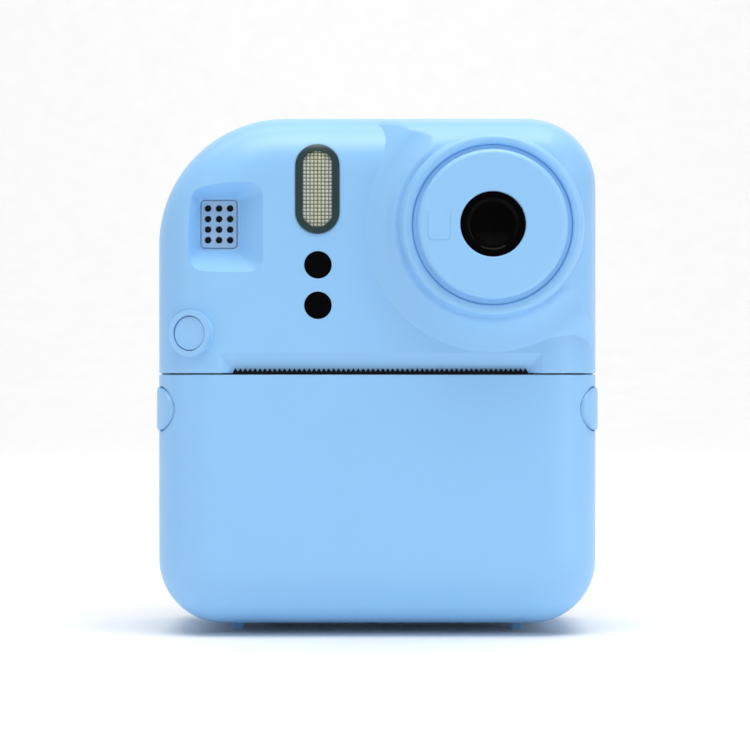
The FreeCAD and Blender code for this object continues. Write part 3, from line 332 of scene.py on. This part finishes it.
def wound_paper(name, centre_y, centre_z):
    """Thermal paper: smooth face, its turns showing as rings on the roll's ends."""
    g = Graph(name)
    shift = g.add("ShaderNodeMapping")
    shift.inputs["Location"].default_value = (0.0, -centre_y, -centre_z)
    g.join(g.coords, shift.inputs["Vector"])
    rings = g.add("ShaderNodeTexWave", wave_type="RINGS", rings_direction="X", wave_profile="SIN")
    rings.inputs["Scale"].default_value = 900.0
    rings.inputs["Distortion"].default_value = 1.5
    g.join(shift.outputs["Vector"], rings.inputs["Vector"])
    turns = g.blend(rings.outputs["Fac"], (0.80, 0.80, 0.78), (0.93, 0.93, 0.91))
    g.join(turns, g.shader.inputs["Base Color"])
    g.roughen(g.noise(900.0, 4.0), 0.55, 0.72)
    g.bump(g.noise(4000.0, 3.0), 0.01 * MM, 0.4)
    return g.material


def phosphor(name):
    """Yellow phosphor of a white LED."""
    g = Graph(name)
    spots = g.noise(2200.0, 3.0)
    g.mottle(spots, (0.78, 0.60, 0.14), (0.92, 0.78, 0.30))
    g.roughen(spots, 0.25, 0.4)
    g.bump(spots, 0.02 * MM, 0.4, g.soft_edges(0.2 * MM))
    return g.material


def foil(name):
    """Silvered wrap of the battery, slightly wrinkled."""
    g = Graph(name)
    wrinkle = g.noise(130.0, 5.0)
    g.mottle(wrinkle, (0.52, 0.53, 0.55), (0.72, 0.73, 0.75))
    g.roughen(wrinkle, 0.22, 0.4)
    g.bump(wrinkle, 0.25 * MM, 0.4)
    g.set(Metallic=0.9)
    return g.material


def make_materials():
    """One material for each slot of the record."""
    roll_low, roll_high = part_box("paper_roll")
    roll = (roll_low + roll_high) / 2
    return {
        "shell_blue": shell_plastic("case plastic", (0.285, 0.580, 0.940)),
        "disc_blue": shell_plastic("lens disc plastic", (0.292, 0.588, 0.945)),
        "grille_blue": moulded_plastic("grille plastic", (0.30, 0.50, 0.74), (0.42, 0.52)),
        "key_blue": moulded_plastic("key plastic", (0.15, 0.36, 0.72), (0.30, 0.40), coat=0.2),
        "window_black": polished_black("black window"),
        "lens_black": polished_black("lens glass", (0.0010, 0.0008, 0.0009), (0.03, 0.06)),
        "bezel_black": moulded_plastic("flash frame", (0.012, 0.038, 0.041), (0.14, 0.24), 0.006, 0.3, 0.3),
        "clear_plastic": clear_plastic("flash window"),
        "black_plastic": moulded_plastic("black plastic", (0.018, 0.018, 0.020), (0.45, 0.60), 0.02, 0.2),
        "frame_plastic": moulded_plastic("frame plastic", (0.055, 0.056, 0.060), (0.50, 0.64), 0.02, 0.25),
        "gear_white": moulded_plastic("gear plastic", (0.78, 0.77, 0.71), (0.34, 0.46), 0.008, 0.08),
        "led_yellow": phosphor("led phosphor"),
        "pcb_green": circuit_board("circuit board"),
        "chip_black": moulded_plastic("chip", (0.022, 0.022, 0.024), (0.5, 0.62), 0.02, 0.1),
        "steel": brushed_metal("steel", (0.58, 0.58, 0.60)),
        "blackened_steel": brushed_metal("black blade", (0.012, 0.012, 0.013), (0.34, 0.5), edge=0.04),
        "aluminium": brushed_metal("aluminium", (0.74, 0.75, 0.77), (0.3, 0.44)),
        "brass": brushed_metal("brass", (0.72, 0.53, 0.24), (0.28, 0.42)),
        "roller_rubber": ground_rubber("roller rubber"),
        "ceramic_head": moulded_plastic("ceramic", (0.80, 0.80, 0.75), (0.2, 0.3), 0.004, 0.1),
        "paper": wound_paper("thermal paper", roll.y, roll.z),
        "core_plastic": moulded_plastic("core plastic", (0.62, 0.62, 0.60), (0.5, 0.6)),
        "battery_foil": foil("battery foil"),
        "display": polished_black("display", (0.010, 0.011, 0.014), (0.08, 0.16)),
    }


def dress_frame(materials):
    """Puts the materials on every CAD node."""
    for entry in frame["record"]["subparts"]:
        node = frame["nodes"][entry["node"]]
        for place in node.material_slots:
            place.material = materials[entry["material_slot"]]


# ================================================================ pieces
def mesh_piece(name, bm, body, slot_name, materials, smooth=True):
    """Turns a bmesh into a piece that rides on a body."""
    bmesh.ops.remove_doubles(bm, verts=bm.verts, dist=MERGE_DISTANCE)
    bmesh.ops.recalc_face_normals(bm, faces=bm.faces)
    mesh = bpy.data.meshes.new(name)
    bm.to_mesh(mesh)
    bm.free()
    for polygon in mesh.polygons:
        polygon.use_smooth = smooth
    piece = bpy.data.objects.new(name, mesh)
    bpy.context.scene.collection.objects.link(piece)
    mesh.materials.append(materials[slot_name])
    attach(piece, body)
    return piece


def turned(profile, centre, steps=96):
    """Surface of revolution about the Y direction; the profile is radius and depth pairs."""
    bm = bmesh.new()
    rings = []
    for radius, y in profile:
        if radius == 0.0:
            rings.append([bm.verts.new((centre.x, y, centre.z))])
            continue
        ring = []
        for step in range(steps):
            turn = 2 * math.pi * step / steps
            x = centre.x + radius * math.cos(turn)
            ring.append(bm.verts.new((x, y, centre.z + radius * math.sin(turn))))
        rings.append(ring)
    for first, second in zip(rings, rings[1:]):
        for step in range(steps):
            following = (step + 1) % steps
            corners = [first[step % len(first)], first[following % len(first)]]
            corners += [second[following % len(second)], second[step % len(second)]]
            bm.faces.new(list(dict.fromkeys(corners)))
    return bm


def case_surface_y(z):
    """Depth of the case's front surface at a height, on its middle stretch."""
    start = front_high.z - FRONT_ROUND
    rise = max(0.0, z - start)
    return FACE_Y + FRONT_ROUND - math.sqrt(FRONT_ROUND ** 2 - rise ** 2)


def inside_oval(x, z, low, high, grow):
    """Whether a point lies in an upright oval, grown by a margin."""
    radius = (high.x - low.x) / 2
    middle = (low.x + high.x) / 2
    nearest = min(max(z, low.z + radius), high.z - radius)
    return math.hypot(x - middle, z - nearest) < radius + grow


def flash_prisms(materials):
    """Clear flash window with rows of small pyramids on its face."""
    low, high, pitch = flash_grid()
    rows = round((high.z - low.z) / pitch) + 2
    bm = bmesh.new()
    for column in range(-1, PRISM_COLUMNS + 1):
        for row in range(-1, rows):
            x = low.x + (column + 0.5) * pitch
            z = low.z + (row + 0.5) * pitch
            if not inside_oval(x, z, low, high, pitch * PRISM_MARGIN):
                continue
            corners = []
            for side_x, side_z in ((-0.5, -0.5), (0.5, -0.5), (0.5, 0.5), (-0.5, 0.5)):
                corner_z = z + side_z * pitch
                corner = (x + side_x * pitch, case_surface_y(corner_z) + PRISM_DEPTH, corner_z)
                corners.append(bm.verts.new(corner))
            tip = bm.verts.new((x, case_surface_y(z), z))
            for index in range(4):
                bm.faces.new((corners[index], corners[(index + 1) % 4], tip))
    bmesh.ops.remove_doubles(bm, verts=bm.verts, dist=MERGE_DISTANCE)
    grown = bmesh.ops.extrude_face_region(bm, geom=list(bm.faces))
    for item in grown["geom"]:
        if isinstance(item, bmesh.types.BMVert):
            item.co.y = flash_high.y
    piece = mesh_piece("flash_window_prisms", bm, "case", "clear_plastic", materials, smooth=False)
    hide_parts("flash_lens")


def lens_glass(materials):
    """Black lens window: flat rim, a shallow step at the inner ring and a bulging centre."""
    middle = (lens_low + lens_high) / 2
    rim = (lens_high.x - lens_low.x) / 2
    face = lens_low.y
    profile = [
        (0.0, lens_high.y),
        (rim, lens_high.y),
        (rim, face + LENS_BEVEL),
        (rim - LENS_BEVEL, face),
        (LENS_INNER_RING + LENS_STEP, face),
        (LENS_INNER_RING, face + LENS_STEP),
        (LENS_INNER_RING - LENS_DISH_SLOPE, face + LENS_DISH),
    ]
    dome_r = LENS_INNER_RING - LENS_DOME_GAP
    for step in range(LENS_DOME_STEPS + 1):
        share = step / LENS_DOME_STEPS
        rise = LENS_DOME_RISE * math.sin(share * math.pi / 2)
        profile.append((dome_r * (1 - share), face + LENS_DISH - rise))
    bm = turned(profile, middle)
    piece = mesh_piece("lens_glass", bm, "case", "lens_black", materials)
    smooth_by_angle(piece, LENS_SMOOTH_DEGREES)
    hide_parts("lens_window")


def smooth_by_angle(piece, degrees):
    """Keeps edges sharper than an angle hard."""
    mesh = piece.data
    bm = bmesh.new()
    bm.from_mesh(mesh)
    limit = math.radians(degrees)
    for edge in bm.edges:
        edge.smooth = len(edge.link_faces) != 2 or edge.calc_face_angle(0.0) < limit
    bm.to_mesh(mesh)
    bm.free()


def mark(name, outline, node, materials):
    """Thin raised symbol on a key's face; the outline is X and Z offsets from the key's middle."""
    low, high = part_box(node)
    middle = (low + high) / 2
    bm = bmesh.new()
    corners = [bm.verts.new((middle.x + x * MM, key_face_y, middle.z + z * MM)) for x, z in outline]
    face = bm.faces.new(corners)
    grown = bmesh.ops.extrude_face_region(bm, geom=[face])
    for item in grown["geom"]:
        if isinstance(item, bmesh.types.BMVert):
            item.co.y += SIGN_HEIGHT
    mesh_piece(name, bm, node, "core_plastic", materials, smooth=False)


def key_symbols(materials):
    """Generic arrows and signs on the back keys."""
    arrow = ((-1.3, -0.6), (1.3, -0.6), (0.0, 1.0))
    for node, turn in (("key_up", 0), ("key_right", 270), ("key_down", 180), ("key_left", 90)):
        cosine = math.cos(math.radians(turn))
        sine = math.sin(math.radians(turn))
        points = [(x * cosine + z * sine, z * cosine - x * sine) for x, z in arrow]
        mark(node + "_arrow", points, node, materials)
    mark("play_sign", ((0.8, -1.2), (-1.3, 0.0), (0.8, 1.2)), "key_play", materials)
    mark("print_sheet_sign", ((-1.0, -1.3), (1.0, -1.3), (1.0, 1.3), (-1.0, 1.3)), "key_print", materials)
    ring = []
    for step in range(POWER_RING_STEPS + 1):
        angle = math.radians(POWER_RING_START - POWER_RING_SWEEP * step / POWER_RING_STEPS)
        ring.append((POWER_RING_R * math.cos(angle), POWER_RING_R * math.sin(angle)))
    inner_edge = [(x * POWER_RING_INNER, z * POWER_RING_INNER) for x, z in reversed(ring)]
    mark("power_ring_sign", ring + inner_edge, "key_power", materials)
    mark("power_bar_sign", ((-0.2, 0.3), (0.2, 0.3), (0.2, 1.9), (-0.2, 1.9)), "key_power", materials)
    dot = [(math.cos(math.radians(angle)), math.sin(math.radians(angle))) for angle in range(0, 360, 15)]
    mark("ok_dot_sign", dot, "key_ok", materials)


def springs():
    """Gives each release spring its own copy of its mesh."""
    for side in ("right", "left"):
        node = "release_spring_" + side
        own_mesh(frame["nodes"][node])


# ================================================================ studio
def studio_material():
    """Pale seamless paper."""
    g = Graph("studio paper")
    g.mottle(g.noise(60.0, 4.0), (0.93, 0.93, 0.93), (0.95, 0.95, 0.95))
    g.set(Roughness=0.9)
    return g.material


def studio():
    """Floor that curves up into a backdrop."""
    bm = bmesh.new()
    profile = [(-FLOOR_HALF, 0.0), (FLOOR_BEND_START, 0.0)]
    for step in range(1, FLOOR_BEND_STEPS + 1):
        turn = math.pi / 2 * step / FLOOR_BEND_STEPS
        y = FLOOR_BEND_START + FLOOR_BEND_R * math.sin(turn)
        profile.append((y, FLOOR_BEND_R * (1 - math.cos(turn))))
    profile.append((FLOOR_BEND_START + FLOOR_BEND_R, FLOOR_HALF))
    left = [bm.verts.new((-FLOOR_HALF, y, z)) for y, z in profile]
    right = [bm.verts.new((FLOOR_HALF, y, z)) for y, z in profile]
    for index in range(len(profile) - 1):
        bm.faces.new((left[index], right[index], right[index + 1], left[index + 1]))
    mesh = bpy.data.meshes.new("studio_floor")
    bm.to_mesh(mesh)
    bm.free()
    for polygon in mesh.polygons:
        polygon.use_smooth = True
    floor = bpy.data.objects.new("studio_floor", mesh)
    bpy.context.scene.collection.objects.link(floor)
    mesh.materials.append(studio_material())


def soft_light(name, place, target, size, power):
    """Large rectangular lamp aimed at a point."""
    data = bpy.data.lights.new(name, "AREA")
    data.shape = "RECTANGLE"
    data.size, data.size_y = size
    data.energy = power
    lamp = bpy.data.objects.new(name, data)
    lamp.location = place
    lamp.rotation_mode = "QUATERNION"
    lamp.rotation_quaternion = (Vector(target) - Vector(place)).to_track_quat("-Z", "Y")
    bpy.context.scene.collection.objects.link(lamp)


def lights():
    """Overhead softbox, two side fills, a wash on the backdrop and a pale surrounding."""
    world = bpy.data.worlds.new("studio air")
    world.use_nodes = True
    background = world.node_tree.nodes["Background"]
    background.inputs["Color"].default_value = (1.0, 1.0, 1.0, 1.0)
    background.inputs["Strength"].default_value = AIR_STRENGTH
    bpy.context.scene.world = world
    middle = (0.0, 0.0, 0.05)
    soft_light("top softbox", (0.05, -0.27, 0.95), middle, (0.9, 0.5), TOP_WATTS)
    soft_light("right fill", (0.9, -0.55, 0.35), middle, (0.5, 0.8), RIGHT_WATTS)
    soft_light("left fill", (-0.9, -0.6, 0.35), middle, (0.5, 0.8), LEFT_WATTS)
    soft_light("backdrop wash", (0.0, 0.55, 1.9), (0.0, 2.0, 0.6), (3.0, 0.4), WASH_WATTS)


def view_camera():
    """Camera level with the middle of the case, looking straight at its face."""
    data = bpy.data.cameras.new("view")
    data.sensor_width = SENSOR
    data.lens = FOCAL
    data.clip_start = 0.01
    data.clip_end = 50.0
    camera = bpy.data.objects.new("view", data)
    camera.location = (CAMERA_X, FACE_Y - CAMERA_DISTANCE, CAMERA_Z)
    camera.rotation_euler = (math.pi / 2, 0.0, 0.0)
    bpy.context.scene.collection.objects.link(camera)
    bpy.context.scene.camera = camera


# ================================================================ build
view_camera()
all_materials = make_materials()
dress_frame(all_materials)
flash_prisms(all_materials)
lens_glass(all_materials)
key_symbols(all_materials)
springs()
studio()
lights()
bpy.context.scene.view_settings.view_transform = "Standard"
